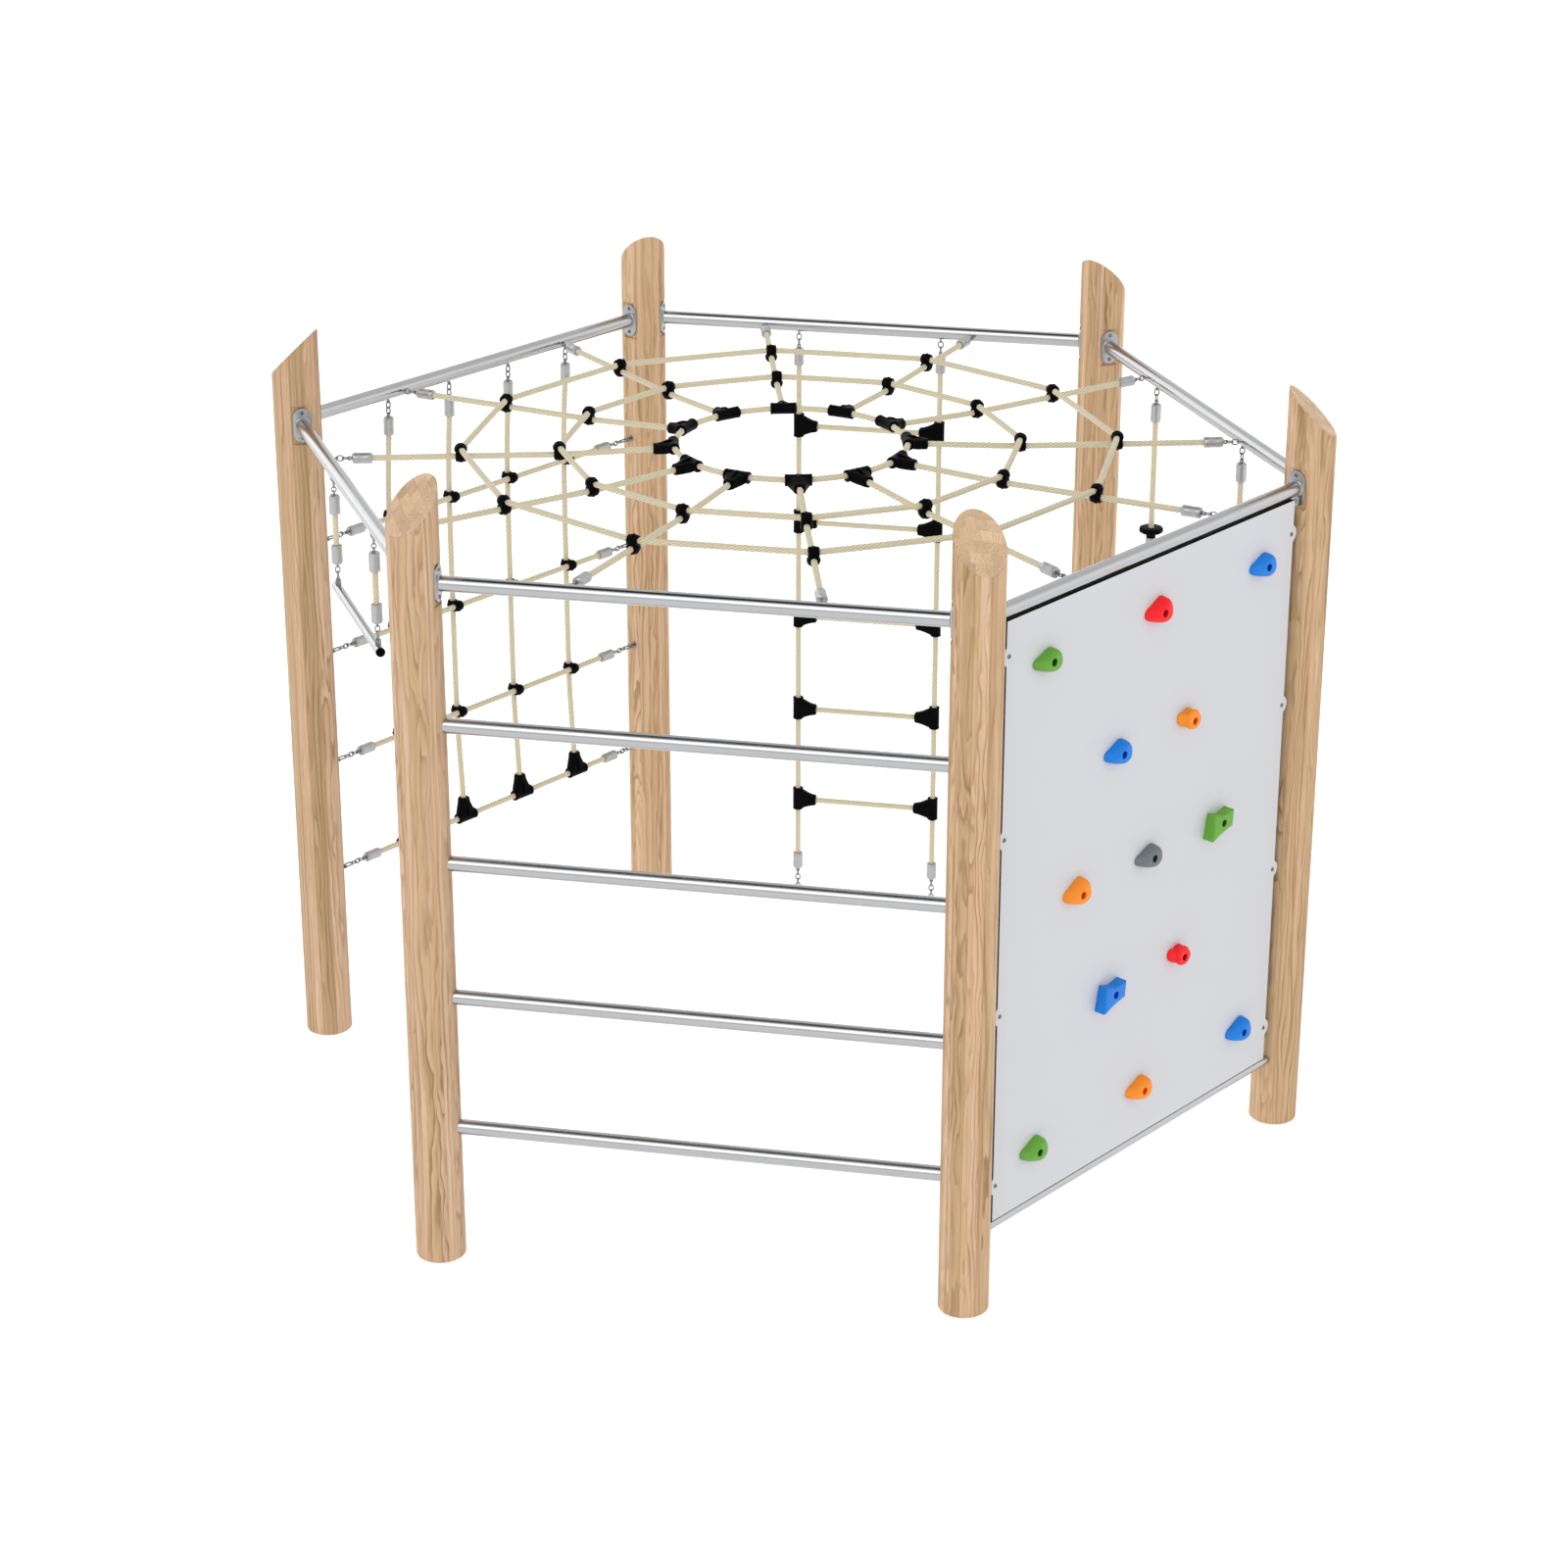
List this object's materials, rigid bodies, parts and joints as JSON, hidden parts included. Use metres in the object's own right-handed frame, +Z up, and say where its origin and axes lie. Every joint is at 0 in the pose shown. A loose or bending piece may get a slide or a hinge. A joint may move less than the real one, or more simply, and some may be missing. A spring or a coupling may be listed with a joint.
{
  "type": "hexagonal climbing frame",
  "caption": "Hexagonal timber climbing frame with a horizontal rope web on top, bar ladder, climbing wall, climbing ropes, rope ladder, rope net and trapeze on its sides",
  "frame": {"origin": "centre of the hexagon on the ground plane, under the middle of the rope web", "axes": "+Z up; +Y towards the side with the rope ladder; -Y towards the side with the steel bar ladder; +X right when looking along +Y"},
  "size_m": [3.122, 2.7218, 2.29],
  "materials": {
    "timber": "planed softwood, matte",
    "stainless_steel": "satin stainless steel",
    "panel_board": "light grey board with a black core",
    "rope": "twisted fibre rope, beige",
    "web_connector_plastic": "moulded black plastic",
    "black_plastic": "moulded black plastic",
    "hold_green": "moulded, slightly rough",
    "hold_red": "moulded, slightly rough",
    "hold_blue": "moulded, slightly rough",
    "hold_orange": "moulded, slightly rough",
    "hold_grey": "moulded, slightly rough"
  },
  "bodies": {
    "frame": {"climbing_panel": "panel_board", "disc_rope_left": "rope", "disc_rope_right": "rope", "hold_01_green": "hold_green", "hold_02_red": "hold_red", "hold_03_blue": "hold_blue", "hold_04_orange": "hold_orange", "hold_05_blue": "hold_blue", "hold_06_green": "hold_green", "hold_07_grey": "hold_grey", "hold_08_orange": "hold_orange", "hold_09_red": "hold_red", "hold_10_blue": "hold_blue", "hold_11_blue": "hold_blue", "hold_12_orange": "hold_orange", "hold_13_green": "hold_green", "ladder_bar_1": "stainless_steel", "ladder_bar_2": "stainless_steel", "ladder_bar_3": "stainless_steel", "ladder_bar_4": "stainless_steel", "net_row_1": "rope", "net_row_2": "rope", "net_row_3": "rope", "net_uprights": "rope", "panel_bottom_rail": "stainless_steel", "panel_strip_left": "stainless_steel", "panel_strip_right": "stainless_steel", "post_back_left": "timber", "post_back_right": "timber", "post_front_left": "timber", "post_front_right": "timber", "post_left": "timber", "post_right": "timber", "rail_back": "stainless_steel", "rail_back_left": "stainless_steel", "rail_back_right": "stainless_steel", "rail_front": "stainless_steel", "rail_front_left": "stainless_steel", "rail_front_right": "stainless_steel", "rope_ladder": "rope", "web_ring_inner": "web_connector_plastic", "web_ring_middle": "rope", "web_ring_outer": "rope", "web_spoke_01": "rope", "web_spoke_02": "rope", "web_spoke_03": "rope", "web_spoke_04": "rope", "web_spoke_05": "rope", "web_spoke_06": "rope", "web_spoke_07": "rope", "web_spoke_08": "rope", "web_spoke_09": "rope", "web_spoke_10": "rope", "web_spoke_11": "rope", "web_spoke_12": "rope"},
    "trapeze_ropes": {"trapeze_rope_left": "rope", "trapeze_rope_right": "rope"},
    "trapeze_bar": {"trapeze_bar": "stainless_steel", "trapeze_cap_left": "black_plastic", "trapeze_cap_right": "black_plastic"}
  },
  "joints": [
    {"name": "trapeze_swing", "type": "hinge", "parent": "frame", "child": "trapeze_ropes", "pos_m": [-1.11825, -0.64562, 1.977], "axis": [-0.5, 0.866, 0], "range_deg": [-60, 60]},
    {"name": "bar_pivot", "type": "hinge", "parent": "trapeze_ropes", "child": "trapeze_bar", "pos_m": [-1.11825, -0.64562, 1.672], "axis": [-0.5, 0.866, 0], "range_deg": [-80, 80]}
  ]
}
